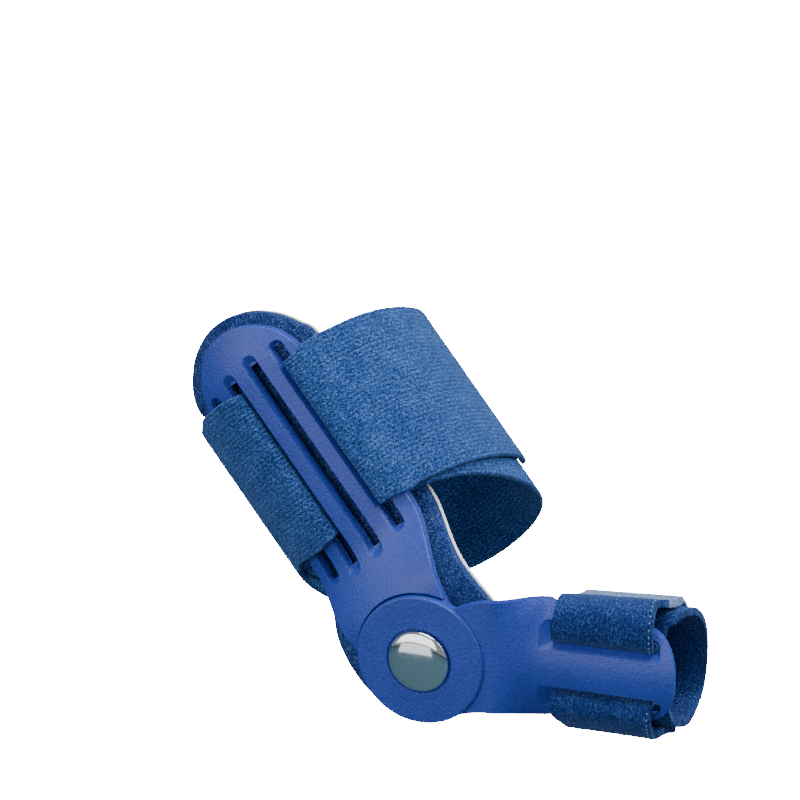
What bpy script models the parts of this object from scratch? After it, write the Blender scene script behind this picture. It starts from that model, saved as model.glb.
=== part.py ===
# Bunion corrector: a hinged splint for the big toe, with its pad and its two straps.
# Sizes are in millimetres and turned into metres where a mesh is made.
import math

import bmesh
import bpy

MM = 0.001
GAP = 0.3

# Pose of the two arms, as angles from the world X axis in the vertical plane
PLATE_ANGLE = 127.0
ARM_ANGLE = 0.0

# Hinge
DISC_R = 18.25
SHOULDER_R = 18.65
LUG_R = 15.0
LUG_IN = 4.3
LUG_OUT = 6.5
DISC_IN = 6.8
DISC_OUT = 10.3
CAP_R = 8.7
CAP_OUT = 12.9
CAP_SEAT = 0.8
SHANK_R = 2.7
TAIL_R = 4.6
TAIL_T = 0.7

# Splint plate
PLATE_TOP = 105.6
PLATE_HALF = 19.0
PLATE_OUT = 9.6
PLATE_T = 3.0
PLATE_BEND_R = 34.0
PLATE_DROP = 8.0
PLATE_TIP_DROP = 2.0
TIP_LENGTH = 14.6
DROP_FROM = 14.0
DROP_TO = 36.0
INNER_SLOT_U = 4.35
OUTER_SLOT_U = 12.9
INNER_SLOT_LO = 28.4
INNER_SLOT_HI = 96.2
OUTER_SLOT_LO = 30.5
OUTER_SLOT_HI = 94.1
SLOT_SKEW = 1.3
SLOT_W = 3.0
RECESS_W = 4.5
RECESS_DEPTH = 1.8
INNER_SLOT_END = 3.4
OUTER_SLOT_END = 1.5

# Pad
PAD_OUT = 4.0
COVER_T = 2.5
FOAM_T = 1.2
PAD_ROOM = 0.6
PAD_RISE = 0.9
PAD_FLAT_U = 18.0

# Toe arm
ARM_TIP = 68.6
ARM_HALF = 16.0
ARM_T = 2.8
ARM_DROP = 3.5
ARM_DROP_FROM = 19.0
ARM_DROP_TO = 33.0
ARM_BEND_R = 17.0
ARM_BEND_FROM = 20.0
ARM_BEND_TO = 36.0
ARM_OUT = 9.2
ARM_SHIFT = 0.7
ARM_SLOT_LO = 31.6
ARM_SLOT_HI = 64.7
ARM_SLOT_END = 3.3
BAR_HALF = 5.2
BAR_SLOPE = 1.7
RAIL_IN = 10.8

# Straps
STRAP_T = 2.0
HOOK_T = 1.2
LAYER = STRAP_T + GAP
INSTEP_LO = 39.5
INSTEP_HI = 90.0
OVER_SLANT = (0.27, 0.175)
INNER_SLANT = (0.50, 0.42)
SOLE_SLANT = (0.82, 0.76)
FOOT_HALF = 33.8
FOOT_DEPTH = 77.5
TOE_LO = 35.7
TOE_HI = 62.7
TOE_HALF = 17.9
TOE_DEPTH = 29.8
TOE_RISE = 0.045


def clear_scene():
    for old in list(bpy.data.objects):
        bpy.data.objects.remove(old, do_unlink=True)


def make_material(name, colour, roughness, metallic=0.0):
    mat = bpy.data.materials.new(name)
    mat.use_nodes = True
    shader = mat.node_tree.nodes["Principled BSDF"]
    shader.inputs["Base Color"].default_value = (*colour, 1.0)
    shader.inputs["Roughness"].default_value = roughness
    shader.inputs["Metallic"].default_value = metallic
    mat.diffuse_color = (*colour, 1.0)
    return mat


def make_frame(name, angle):
    # The empty's X runs along the given direction, its Z points out of the foot.
    empty = bpy.data.objects.new(name, None)
    bpy.context.collection.objects.link(empty)
    empty.rotation_euler = (math.pi / 2, -math.radians(angle), 0.0)
    empty.empty_display_size = 0.02
    return empty


def make_mesh(name, verts, faces, material=None, frame=None):
    mesh = bpy.data.meshes.new(name)
    mesh.from_pydata([tuple(c * MM for c in v) for v in verts], [], faces)
    mesh.update()
    obj = bpy.data.objects.new(name, mesh)
    bpy.context.collection.objects.link(obj)
    if material:
        mesh.materials.append(material)
    if frame:
        obj.parent = frame
    return obj


def face_outward(obj):
    bm = bmesh.new()
    bm.from_mesh(obj.data)
    bmesh.ops.recalc_face_normals(bm, faces=bm.faces)
    bm.to_mesh(obj.data)
    bm.free()


def triangulate(obj):
    # Curved faces are split the same way everywhere, so that the cuts find flat faces.
    bm = bmesh.new()
    bm.from_mesh(obj.data)
    bmesh.ops.triangulate(bm, faces=bm.faces, quad_method='FIXED')
    bm.to_mesh(obj.data)
    bm.free()
    return obj


def smoothstep(value, low, high):
    t = min(max((value - low) / (high - low), 0.0), 1.0)
    return t * t * (3 - 2 * t)


def stations(low, high, step):
    count = max(1, math.ceil((high - low) / step))
    return [low + (high - low) * i / count for i in range(count + 1)]


def spline(keys, steps, closed=False):
    # Catmull-Rom curve through the keys.
    points = []
    n = len(keys)
    last = n if closed else n - 1
    for i in range(last):
        if closed:
            p = [keys[(i + k) % n] for k in (-1, 0, 1, 2)]
        else:
            p = [keys[min(max(i + k, 0), n - 1)] for k in (-1, 0, 1, 2)]
        for s in range(steps):
            t = s / steps
            points.append(tuple(
                0.5 * (2 * b + (c - a) * t + (2 * a - 5 * b + 4 * c - d) * t * t
                       + (3 * b - a - 3 * c + d) * t ** 3)
                for a, b, c, d in zip(*p)))
    if not closed:
        points.append(tuple(keys[-1]))
    return points


def arc(centre, radius, start, stop, steps):
    return [(centre[0] + radius * math.cos(math.radians(start + (stop - start) * i / steps)),
             centre[1] + radius * math.sin(math.radians(start + (stop - start) * i / steps)))
            for i in range(steps + 1)]


def prism(name, outline, low, high, frame):
    n = len(outline)
    verts = [(x, y, low) for x, y in outline] + [(x, y, high) for x, y in outline]
    faces = [tuple(reversed(range(n))), tuple(range(n, 2 * n))]
    faces += [(i, (i + 1) % n, n + (i + 1) % n, n + i) for i in range(n)]
    return make_mesh(name, verts, faces, frame=frame)


def loft(name, outlines, frame):
    # Closed body through outlines that each have the same number of points.
    n = len(outlines[0])
    verts = [p for ring in outlines for p in ring]
    faces = [tuple(reversed(range(n)))]
    for k in range(len(outlines) - 1):
        base = k * n
        faces += [(base + i, base + (i + 1) % n, base + n + (i + 1) % n, base + n + i)
                  for i in range(n)]
    faces.append(tuple(range(len(verts) - n, len(verts))))
    return triangulate(make_mesh(name, verts, faces, frame=frame))


def slab(name, xs, ys, top, bottom, material, frame):
    nx = len(xs)
    ny = len(ys)
    verts = [(x, y, top(x, y)) for y in ys for x in xs]
    verts += [(x, y, bottom(x, y)) for y in ys for x in xs]
    low = nx * ny
    faces = []
    for j in range(ny - 1):
        for i in range(nx - 1):
            a = j * nx + i
            faces.append((a, a + 1, a + nx + 1, a + nx))
            faces.append((low + a, low + a + nx, low + a + nx + 1, low + a + 1))
    for i in range(nx - 1):
        a = (ny - 1) * nx + i
        faces.append((i, low + i, low + i + 1, i + 1))
        faces.append((a, a + 1, low + a + 1, low + a))
    for j in range(ny - 1):
        a = j * nx
        b = a + nx - 1
        faces.append((a, a + nx, low + a + nx, low + a))
        faces.append((b, low + b, low + b + nx, b + nx))
    return triangulate(make_mesh(name, verts, faces, material, frame))


def boolean(obj, cutter, operation):
    cutter.hide_render = True
    cutter.display_type = 'WIRE'
    mod = obj.modifiers.new(cutter.name, 'BOOLEAN')
    mod.operation = operation
    mod.solver = 'EXACT'
    mod.object = cutter
    bpy.context.view_layer.update()
    bpy.context.view_layer.objects.active = obj
    with bpy.context.temp_override(object=obj, active_object=obj):
        bpy.ops.object.modifier_apply(modifier=mod.name)
    bpy.data.objects.remove(cutter, do_unlink=True)


def stadium(half_width, low, high, steps=6):
    # Outline of a slot with round ends, along the frame's Y axis.
    upper = arc((0.0, high - half_width), half_width, 0, 180, steps)
    lower = arc((0.0, low + half_width), half_width, 180, 360, steps)
    return upper + lower


def plate_sag(u, v):
    fade = 0.45 + 0.55 * smoothstep(v, 10.0, 40.0)
    return u * u / (2 * PLATE_BEND_R) * fade


def plate_fall(v):
    return PLATE_DROP * smoothstep(v, DROP_FROM, DROP_TO)


def plate_tip(v):
    return PLATE_TIP_DROP * smoothstep(v, PLATE_TOP - TIP_LENGTH, PLATE_TOP)


def plate_outer(u, v):
    return PLATE_OUT - plate_sag(u, v) - plate_fall(v) - plate_tip(v)


def plate_inner(u, v):
    return plate_outer(u, v) - PLATE_T


def pad_outer(u, v):
    # The pad's tip is flatter at its sole side than the plate is.
    drop = PAD_ROOM * smoothstep(v, DROP_FROM, DROP_TO)
    tip = PLATE_TOP - TIP_LENGTH
    rise = PAD_RISE * smoothstep(v, tip + 1.0, tip + 8.0)
    sag = u * u / (2 * PLATE_BEND_R)
    if u < -PAD_FLAT_U:
        flat = PAD_FLAT_U ** 2 / (2 * PLATE_BEND_R) - 0.25 * (u + PAD_FLAT_U)
        share = smoothstep(v, tip - 5.0, tip + 2.0)
        sag = sag * (1 - share) + flat * share
    fade = smoothstep(v, 4.0, DROP_TO)
    return PAD_OUT - sag * fade - plate_fall(v) - drop + rise


def arm_centre(x):
    # The arm's middle line leaves the hinge's middle by this much towards the instep.
    return ARM_SHIFT * smoothstep(x, 2.0, 24.0)


def arm_outer(x, y):
    bend = smoothstep(x, ARM_BEND_FROM, ARM_BEND_TO)
    drop = ARM_DROP * smoothstep(x, ARM_DROP_FROM, ARM_DROP_TO)
    off = y - arm_centre(x)
    return ARM_OUT - drop - bend * off * off / (2 * ARM_BEND_R)


def arm_inner(x, y):
    level = arm_outer(x, y) - ARM_T
    if math.hypot(x, y) < DISC_R + 2.0:
        return max(level, DISC_IN + 0.15)
    return level


def cut_slot(obj, centre, low, high, end, outer, frame):
    # The recess slopes in from the face, and the opening below it has square ends.
    mid = [outer(centre, low + (high - low) * k / 4) for k in range(5)]
    top = max(mid) + 2.0
    rings = []
    inset = (RECESS_W - SLOT_W) / 2
    for depth, share in ((-3.0, -0.6), (0.0, 0.0), (RECESS_DEPTH, 1.0)):
        half = RECESS_W / 2 - share * inset
        move = share * 0.7 * end
        ring = stadium(half, low + move, high - move)
        rings.append([(centre + x, y, outer(centre + x, y) - depth) for x, y in ring])
    boolean(obj, loft(obj.name + "_recess", rings[::-1], frame), 'DIFFERENCE')
    half = SLOT_W / 2 + 0.1
    lo = low + end
    hi = high - end
    box = [(centre - half, lo), (centre + half, lo), (centre + half, hi), (centre - half, hi)]
    boolean(obj, prism(obj.name + "_opening", box, min(mid) - 12.0, top, frame), 'DIFFERENCE')


def revolve(name, profile, material, frame, count=40):
    # The profile is a list of radius and height pairs that starts and ends on the axis.
    verts = []
    rings = []
    for radius, height in profile:
        if radius == 0.0:
            rings.append([len(verts)])
            verts.append((0.0, 0.0, height))
        else:
            rings.append(list(range(len(verts), len(verts) + count)))
            for k in range(count):
                t = 2 * math.pi * k / count
                verts.append((radius * math.cos(t), radius * math.sin(t), height))
    faces = []
    for a, b in zip(rings, rings[1:]):
        for k in range(count):
            m = (k + 1) % count
            if len(a) == 1:
                faces.append((a[0], b[m], b[k]))
            elif len(b) == 1:
                faces.append((a[k], a[m], b[0]))
            else:
                faces.append((a[k], a[m], b[m], b[k]))
    obj = make_mesh(name, verts, faces, material, frame)
    face_outward(obj)
    return obj


def cylinder(name, radius, low, high, frame, count=48):
    return prism(name, arc((0.0, 0.0), radius, 0, 360, count)[:-1], low, high, frame)


def build_plate(frame, material):
    half = PLATE_HALF
    top = PLATE_TOP
    # Right half of the outline, as shares of the half width and of the top's height.
    side = [(half * a, top * b) for a, b in (
        (0.835, 0.11), (0.91, 0.18), (0.965, 0.26), (1.0, 0.36), (1.0, 0.66), (0.975, 0.80),
        (0.935, 0.86), (0.86, 0.90), (0.765, 0.93), (0.585, 0.963), (0.40, 0.986), (0.2, 0.998),
        (0.0, 1.0))]
    curve = spline(side, 2)
    lug_start = math.degrees(math.atan2(curve[0][1], curve[0][0]))
    lug = arc((0.0, 0.0), LUG_R, lug_start - 20, -180 - lug_start + 20, 27)
    outline = curve + [(-x, y) for x, y in reversed(curve[:-1])] + list(reversed(lug))
    plate = slab("splint_plate", stations(-half - 2, half + 2, 2.8),
                 stations(-LUG_R - 2, top + 2, 4.8), plate_outer,
                 lambda u, v: plate_inner(u, v) if v > DROP_FROM else LUG_IN, material, frame)
    boolean(plate, prism("plate_outline", outline, -30.0, 30.0, frame), 'INTERSECT')
    boolean(plate, cylinder("shoulder", SHOULDER_R, LUG_OUT, 30.0, frame), 'DIFFERENCE')
    for place, low, high, end in ((OUTER_SLOT_U, OUTER_SLOT_LO, OUTER_SLOT_HI, OUTER_SLOT_END),
                                  (INNER_SLOT_U, INNER_SLOT_LO, INNER_SLOT_HI, INNER_SLOT_END)):
        for centre in (-place, place):
            # The slots of the dorsal side sit a little higher than those of the sole side.
            skew = SLOT_SKEW * centre / OUTER_SLOT_U
            cut_slot(plate, centre, low + skew, high + skew, end, plate_outer, frame)
    boolean(plate, cylinder("shank_hole", SHANK_R + GAP, -10.0, 30.0, frame, 32), 'DIFFERENCE')
    tail = cylinder("tail_seat", TAIL_R + GAP, LUG_IN - 5, LUG_IN + TAIL_T + GAP, frame, 32)
    boolean(plate, tail, 'DIFFERENCE')
    return plate


def build_rivet(frame, material):
    under = DISC_OUT - CAP_SEAT + GAP
    rim = under + 0.7
    dome = [(CAP_R * math.cos(math.radians(a)),
             rim + (CAP_OUT - rim) * math.sin(math.radians(a))) for a in (0, 15, 30, 45, 60, 75)]
    profile = [(0.0, LUG_IN), (TAIL_R - 0.4, LUG_IN), (TAIL_R, LUG_IN + 0.3),
               (TAIL_R, LUG_IN + TAIL_T), (SHANK_R, LUG_IN + TAIL_T), (SHANK_R, under),
               (CAP_R - 0.3, under), (CAP_R, under + 0.3)] + dome + [(0.0, CAP_OUT)]
    return revolve("rivet", profile, material, frame)


def arm_slot_rings(sign):
    # Outlines of an arm slot from above the face down to the opening. The bar's side slopes in
    # only on the upper slot, because the strap lies close under the bar in the lower one.
    inset = BAR_SLOPE if sign > 0 else 0.3
    rings = []
    for share in (-0.5, 0.0, 1.0, 1.15):
        lo = ARM_SLOT_LO + share * ARM_SLOT_END
        hi = ARM_SLOT_HI - share * 0.8
        bar = BAR_HALF + share * inset
        rail = RAIL_IN + 1.6 - share * 0.5
        ring = [(lo + 0.5, bar), (hi - 1.4, bar), (hi - 0.4, bar + 0.4), (hi, bar + 1.5),
                (hi - 0.5, rail - 2.6), (hi - 1.8, rail - 1.7),
                (hi - 0.6 * (hi - lo), rail - 0.6), (lo + 5.0, rail), (lo + 1.5, rail),
                (lo + 0.4, rail - 1.2), (lo, rail - 3.5)]
        rings.append([(x, ARM_SHIFT + sign * y) for x, y in (ring if sign > 0 else ring[::-1])])
    return rings


def build_arm(frame, material):
    half = ARM_HALF
    tip = ARM_TIP
    # The outline beyond the disc, as shares of the arm's length and half width. The neck is
    # wider towards the instep, and both sides meet the same rounded tip.
    end = ((0.555, 0.905), (0.70, 0.868), (0.84, 0.835), (0.901, 0.785), (0.939, 0.700),
           (0.968, 0.560), (0.988, 0.385), (0.998, 0.19), (1.0, 0.0))
    upper_side = ((0.146, 0.97), (0.182, 1.03), (0.230, 1.09), (0.285, 1.12), (0.35, 1.115),
                  (0.41, 1.09), (0.485, 1.045), (0.52, 0.97)) + end
    lower_side = ((0.146, 0.95), (0.22, 0.87), (0.29, 0.845), (0.36, 0.875), (0.42, 0.955),
                  (0.48, 1.03), (0.52, 0.97)) + end
    upper = [(x, arm_centre(x) + y) for x, y in spline(
        [(tip * a, half * b) for a, b in upper_side], 2)]
    lower = [(x, arm_centre(x) - y) for x, y in spline(
        [(tip * a, half * b) for a, b in lower_side], 2)[:-1]]
    start = math.degrees(math.atan2(upper[0][1], upper[0][0]))
    stop = math.degrees(math.atan2(lower[0][1], lower[0][0]))
    back = arc((0.0, 0.0), DISC_R - 1.5, start + 11, 351 + stop, 27)
    outline = lower + list(reversed(upper)) + back
    arm = slab("toe_arm", stations(-DISC_R - 2, tip + 2, 3.2), stations(-half - 5, half + 7, 2.5),
               arm_outer, arm_inner, material, frame)
    boolean(arm, prism("arm_outline", outline, -40.0, 40.0, frame), 'INTERSECT')
    disc = loft("disc", [
        [(r * math.cos(math.radians(a)), r * math.sin(math.radians(a)), h)
         for a in range(0, 360, 6)]
        for r, h in ((DISC_R, DISC_IN), (DISC_R, DISC_OUT - 1.0), (DISC_R - 0.4, DISC_OUT - 0.4),
                     (DISC_R - 1.2, DISC_OUT))], frame)
    boolean(arm, disc, 'UNION')
    boolean(arm, cylinder("cap_seat", CAP_R + 0.6, DISC_OUT - CAP_SEAT, 30.0, frame, 40),
            'DIFFERENCE')
    boolean(arm, cylinder("arm_shank_hole", SHANK_R + GAP, -10.0, 30.0, frame, 32), 'DIFFERENCE')
    for sign in (1, -1):
        over, face, opening, floor = arm_slot_rings(sign)
        slope = [[(x, y, arm_outer(x, y) + 1.0) for x, y in over],
                 [(x, y, arm_outer(x, y)) for x, y in face],
                 [(x, y, arm_outer(x, y) - 0.7 * ARM_T) for x, y in floor]]
        boolean(arm, loft("arm_recess", slope[::-1], frame), 'DIFFERENCE')
        # The opening's corners are set off from the slope's edges, for a clean cut.
        opening = [(x + 0.13, y) for x, y in opening]
        boolean(arm, prism("arm_slot", opening, -40.0, 40.0, frame), 'DIFFERENCE')
    return arm


def band(name, path, low, high, thickness, place, along_x, material, frame):
    # A flat band that follows a path in the section plane and is as wide as high - low. Place
    # gives where a point of the path lies at one edge of the band.
    n = len(path)
    verts = []
    for i, (a, w) in enumerate(path):
        p = path[max(i - 1, 0)]
        q = path[min(i + 1, n - 1)]
        da = q[0] - p[0]
        dw = q[1] - p[1]
        length = math.hypot(da, dw)
        na = -dw / length * thickness / 2
        nw = da / length * thickness / 2
        for across in (low, high):
            at, along = place(i, a, across, w)
            for sign in (1, -1):
                s = (at + sign * na, along, w + sign * nw)
                verts.append((s[1], s[0], s[2]) if along_x else s)
    faces = [(0, 1, 3, 2)]
    for i in range(n - 1):
        b = 4 * i
        for j, k in ((0, 1), (1, 3), (3, 2), (2, 0)):
            faces.append((b + k, b + j, b + 4 + j, b + 4 + k))
    e = 4 * (n - 1)
    faces.append((e + 2, e + 3, e + 1, e))
    obj = make_mesh(name, verts, faces, material, frame)
    face_outward(obj)
    return obj


def offset_keys(keys, distance):
    out = []
    n = len(keys)
    for i, (a, w) in enumerate(keys):
        p = keys[max(i - 1, 0)]
        q = keys[min(i + 1, n - 1)]
        da = q[0] - p[0]
        dw = q[1] - p[1]
        length = math.hypot(da, dw)
        out.append((a - dw / length * distance, w + da / length * distance))
    return out


def build_pad(frame, cover_material, foam_material):
    w = PLATE_HALF
    h = PLATE_TOP
    # Outline of the pad, as shares of the plate's half width and of its top's height.
    keys = [(w * a, h * b) for a, b in (
        (0.02, 1.035), (0.29, 1.028), (0.54, 1.008), (0.73, 0.980), (0.87, 0.950), (0.98, 0.912),
        (1.08, 0.852), (1.11, 0.60), (1.105, 0.40), (1.12, 0.25), (1.20, 0.13), (1.285, 0.02),
        (1.20, -0.07), (0.95, -0.135), (0.50, -0.16), (0.0, -0.165), (-0.52, -0.155),
        (-0.96, -0.10), (-1.16, -0.02), (-1.21, 0.06), (-1.20, 0.15), (-1.14, 0.26),
        (-1.17, 0.38), (-1.19, 0.60), (-1.18, 0.80), (-1.32, 0.857), (-1.33, 0.892),
        (-1.21, 0.932), (-1.07, 0.962), (-0.87, 0.990), (-0.63, 1.011), (-0.27, 1.031))]
    outline = spline(keys, 3, closed=True)
    xs = stations(-1.4 * w, 1.4 * w, 4.8)
    ys = stations(-0.25 * h, 1.1 * h, 6.4)
    cover = slab("pad_cover", xs, ys, pad_outer, lambda u, v: pad_outer(u, v) - COVER_T,
                 cover_material, frame)
    boolean(cover, prism("cover_outline", outline[::-1], -60.0, 60.0, frame), 'INTERSECT')
    top = COVER_T + 2 * GAP
    foam = slab("pad_foam", xs, ys, lambda u, v: pad_outer(u, v) - top,
                lambda u, v: pad_outer(u, v) - top - FOAM_T, foam_material, frame)
    boolean(foam, prism("foam_outline", outline[::-1], -60.0, 60.0, frame), 'INTERSECT')


def instep_paths():
    rail = OUTER_SLOT_U + SLOT_W / 2
    mid = (INSTEP_LO + INSTEP_HI) / 2
    turn = STRAP_T / 2 + GAP + 0.2
    half = PLATE_HALF
    reach = 0.9 * half
    edge = 1.08 * half
    past = 1.2 * half

    def corner(u, inner):
        return plate_inner(u, mid) if inner else plate_outer(u, mid)

    def between(u):
        return (plate_inner(u, mid) + pad_outer(u, mid)) / 2

    # Inner layer round the midfoot, from the dorsal rail to the sole side, beyond the pad, as
    # shares of the hollow's half width and depth.
    girth = [(FOOT_HALF * a, -FOOT_DEPTH * b) for a, b in (
        (0.728, 0.1445), (0.876, 0.2168), (0.970, 0.329), (1.0, 0.484), (0.941, 0.6645),
        (0.769, 0.826), (0.473, 0.942), (0.089, 1.0), (-0.311, 0.987), (-0.6065, 0.897),
        (-0.799, 0.748), (-0.876, 0.555), (-0.885, 0.374), (-0.840, 0.239), (-0.740, 0.142))]
    top_w = corner(rail, False)
    low_w = corner(rail, True)
    fold = arc((rail, top_w), turn, 80, 180, 3) + arc((rail, low_w), turn, 180, 262, 3)
    under = [(u, between(u)) for u in (reach + 0.1, edge)]
    over = [(past, corner(past, False) - 0.1 * STRAP_T), (edge, corner(edge, False) + 0.75 * STRAP_T),
            (reach, corner(reach, False) + 0.85 * STRAP_T)]
    outer = offset_keys(girth, LAYER)
    dorsal = outer[:8][::-1]
    # On the sole side the band comes out of the inner slot and lies over the bar and the rail.
    u0 = -(INNER_SLOT_U + SLOT_W / 2)
    inward = [(-u, between(u)) for u in (edge, reach, 0.68 * half, 0.48 * half)]
    sole_fold = (arc((u0, corner(u0, True)), turn, 278, 360, 3)
                 + arc((u0, corner(u0, False)), turn, 0, 100, 3))
    outward = [(-u, corner(u, False) + 0.875 * STRAP_T) for u in (0.5 * half, 0.71 * half, reach)]
    outward += [(-edge, corner(edge, False) + 0.7 * STRAP_T),
                (-past, corner(past, False) - 0.3 * STRAP_T)]
    sole = outer[-7:][::-1]
    keys = dorsal + over + fold + under + girth + inward + sole_fold + outward + sole
    return keys, len(dorsal + over + fold), len(girth)


def build_instep(frame, strap_material, hook_material):
    keys, n_fold, n_girth = instep_paths()
    steps = 3
    path = spline(keys, steps)
    total = len(path)
    plate_w = plate_outer(OUTER_SLOT_U, 65.0)
    inner_from = n_fold * steps
    inner_to = (n_fold + 2 + n_girth + 4) * steps

    def place(i, a, across, w):
        # Each layer slants towards the toe with its depth, and more so at its lower edge.
        slant = SOLE_SLANT
        if i < inner_to:
            slant = OVER_SLANT if i < inner_from else INNER_SLANT
        share = (across - INSTEP_LO) / (INSTEP_HI - INSTEP_LO)
        depth = max(plate_w - 6.0 - w, 0.0)
        if i >= inner_to:
            depth = min(depth, 16.0) + 0.35 * max(depth - 16.0, 0.0)
        return a, across - depth * (slant[0] + (slant[1] - slant[0]) * share)

    tape = 2 * steps
    strap = band("instep_strap", path[tape + 1:total - tape - 1], INSTEP_LO, INSTEP_HI, STRAP_T,
                 lambda i, *at: place(i + tape + 1, *at), False, strap_material, frame)
    top = path[:tape + 1]
    top[-1] = tuple(p + (q - p) * 0.75 for p, q in zip(top[-1], path[tape + 1]))
    band("instep_hook_top", top, INSTEP_LO + 2, INSTEP_HI - 2, HOOK_T, place, False,
         hook_material, frame)
    low = path[total - tape - 1:]
    low[0] = tuple(p + (q - p) * 0.75 for p, q in zip(low[0], path[total - tape - 2]))
    band("instep_hook_sole", low, INSTEP_LO + 2, INSTEP_HI - 2, HOOK_T,
         lambda i, *at: place(i + total - tape - 1, *at), False, hook_material, frame)
    return strap


def build_toe(frame, strap_material, hook_material):
    # The level of the arm's outer face at the middle of the band.
    h = arm_outer((TOE_LO + TOE_HI) / 2, ARM_SHIFT)
    t = STRAP_T
    side = 0.86 * ARM_HALF
    # Inner layer round the toe, from under the upper rail to under the lower rail, as shares of
    # the hollow's half width and depth.
    girth = [(TOE_HALF * a, h - TOE_DEPTH * b) for a, b in (
        (0.704, 0.346), (0.793, 0.450), (0.760, 0.631), (0.592, 0.819), (0.268, 0.960),
        (-0.168, 1.0), (-0.581, 0.940), (-0.877, 0.779), (-1.0, 0.570), (-0.944, 0.403),
        (-0.726, 0.336))]
    # Round the upper rail and down past the bar's slope, then the same below, closer to the bar.
    fold = [(side + 2.2 * t, h - 3.6 * t), (side + 1.9 * t, h - 2.0 * t),
            (side + 1.05 * t, h - 0.8 * t), (RAIL_IN + 1.2 * t, h - 0.3 * t),
            (RAIL_IN - 0.5 * t, h - 0.5 * t), (RAIL_IN - 1.15 * t, h - 1.7 * t),
            (RAIL_IN - 1.15 * t, h - 3.0 * t), (RAIL_IN - 1.4 * t, h - 4.2 * t)]
    low_fold = [(-RAIL_IN + 0.5 * t, h - 4.6 * t), (-RAIL_IN + 1.45 * t, h - 3.7 * t),
                (-RAIL_IN + 1.75 * t, h - 2.3 * t), (-RAIL_IN + 1.3 * t, h - 0.95 * t),
                (-RAIL_IN, h - 0.4 * t), (-side - 0.45 * t, h - 1.35 * t),
                (-side - 2.2 * t, h - 3.5 * t)]
    outer = offset_keys(girth, LAYER)
    upper = outer[1:5][::-1]
    lower = outer[6:-1][::-1]
    keys = upper + fold + girth + low_fold + lower
    steps = 4
    path = [(y + ARM_SHIFT, w) for y, w in spline(keys, steps)]
    total = len(path)
    inner_from = (len(upper) + len(fold)) * steps
    inner_to = inner_from + len(girth) * steps

    def place(i, a, across, w):
        # Inside the loop the band slants more towards the tip. Its outer side rises with it.
        depth = max(h - 4.0 - w, 0.0) * smoothstep(h - w, 5.0, 10.0)
        depth = min(depth, 12.0) + 0.3 * max(depth - 12.0, 0.0)
        slant = 0.62 if inner_from <= i <= inner_to else 0.38
        rise = TOE_RISE * (across - TOE_LO) * smoothstep(abs(a - ARM_SHIFT), 11.0, 17.0)
        if a < 0:
            rise *= smoothstep(h - w, 5.0, 11.0)
        return a + rise, across + slant * depth

    tape = 2 * steps
    strap = band("toe_strap", path[tape + 1:total - tape - 1], TOE_LO, TOE_HI, STRAP_T,
                 lambda i, *at: place(i + tape + 1, *at), True, strap_material, frame)
    top = path[:tape + 1]
    top[-1] = tuple(p + (q - p) * 0.6 for p, q in zip(top[-1], path[tape + 1]))
    band("toe_hook_top", top, TOE_LO + 1, TOE_HI - 1, HOOK_T, place, True, hook_material, frame)
    low = path[total - tape - 1:]
    low[0] = tuple(p + (q - p) * 0.6 for p, q in zip(low[0], path[total - tape - 2]))
    band("toe_hook_sole", low, TOE_LO + 1, TOE_HI - 1, HOOK_T,
         lambda i, *at: place(i + total - tape - 1, *at), True, hook_material, frame)
    return strap


def main():
    clear_scene()
    blue = make_material("blue_plastic", (0.030, 0.085, 0.42), 0.42)
    chrome = make_material("chrome", (0.80, 0.82, 0.84), 0.12, 1.0)
    loop = make_material("loop_fabric", (0.010, 0.045, 0.16), 0.95)
    band_blue = make_material("elastic_band", (0.015, 0.070, 0.22), 0.95)
    foam = make_material("white_foam", (0.85, 0.85, 0.82), 0.90)
    hook = make_material("hook_tape", (0.32, 0.45, 0.62), 0.50)
    plate_frame = make_frame("plate_frame", PLATE_ANGLE - 90.0)
    toe_frame = make_frame("toe_frame", ARM_ANGLE)
    build_plate(plate_frame, blue)
    build_rivet(plate_frame, chrome)
    build_pad(plate_frame, loop, foam)
    build_instep(plate_frame, band_blue, hook)
    build_arm(toe_frame, blue)
    build_toe(toe_frame, band_blue, hook)


main()
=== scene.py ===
# %% [markdown]
# Bunion corrector: a hinged plastic splint that holds the big toe straight. A padded plate lies
# along the inner side of the foot, a shorter arm lies along the toe, and one fabric band goes
# through the slots of each. This lesson loads the fixed frame first and then makes each piece.

# %% Load the frame
import math

import bmesh
import bpy
from mathutils import Matrix, Vector, noise


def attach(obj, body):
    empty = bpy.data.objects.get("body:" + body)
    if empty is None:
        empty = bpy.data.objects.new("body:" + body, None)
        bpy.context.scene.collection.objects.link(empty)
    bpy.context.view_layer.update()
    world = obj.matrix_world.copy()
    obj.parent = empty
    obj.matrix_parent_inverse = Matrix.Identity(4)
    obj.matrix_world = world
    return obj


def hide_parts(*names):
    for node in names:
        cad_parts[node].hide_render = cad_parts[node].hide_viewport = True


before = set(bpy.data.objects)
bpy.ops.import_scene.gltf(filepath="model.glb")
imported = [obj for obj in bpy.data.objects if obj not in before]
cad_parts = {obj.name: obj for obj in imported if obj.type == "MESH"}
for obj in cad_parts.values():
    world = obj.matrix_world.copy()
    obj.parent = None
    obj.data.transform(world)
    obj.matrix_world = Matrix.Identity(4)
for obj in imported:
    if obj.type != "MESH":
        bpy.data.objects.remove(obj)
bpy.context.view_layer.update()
MM = 0.001
print("nodes:", sorted(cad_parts))

# %% [markdown]
# The camera stands a little above the splint and to the toe's side, as in the photograph. Its place
# was worked out from points of the splint, so it is given as a matrix and not by eye.

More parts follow.
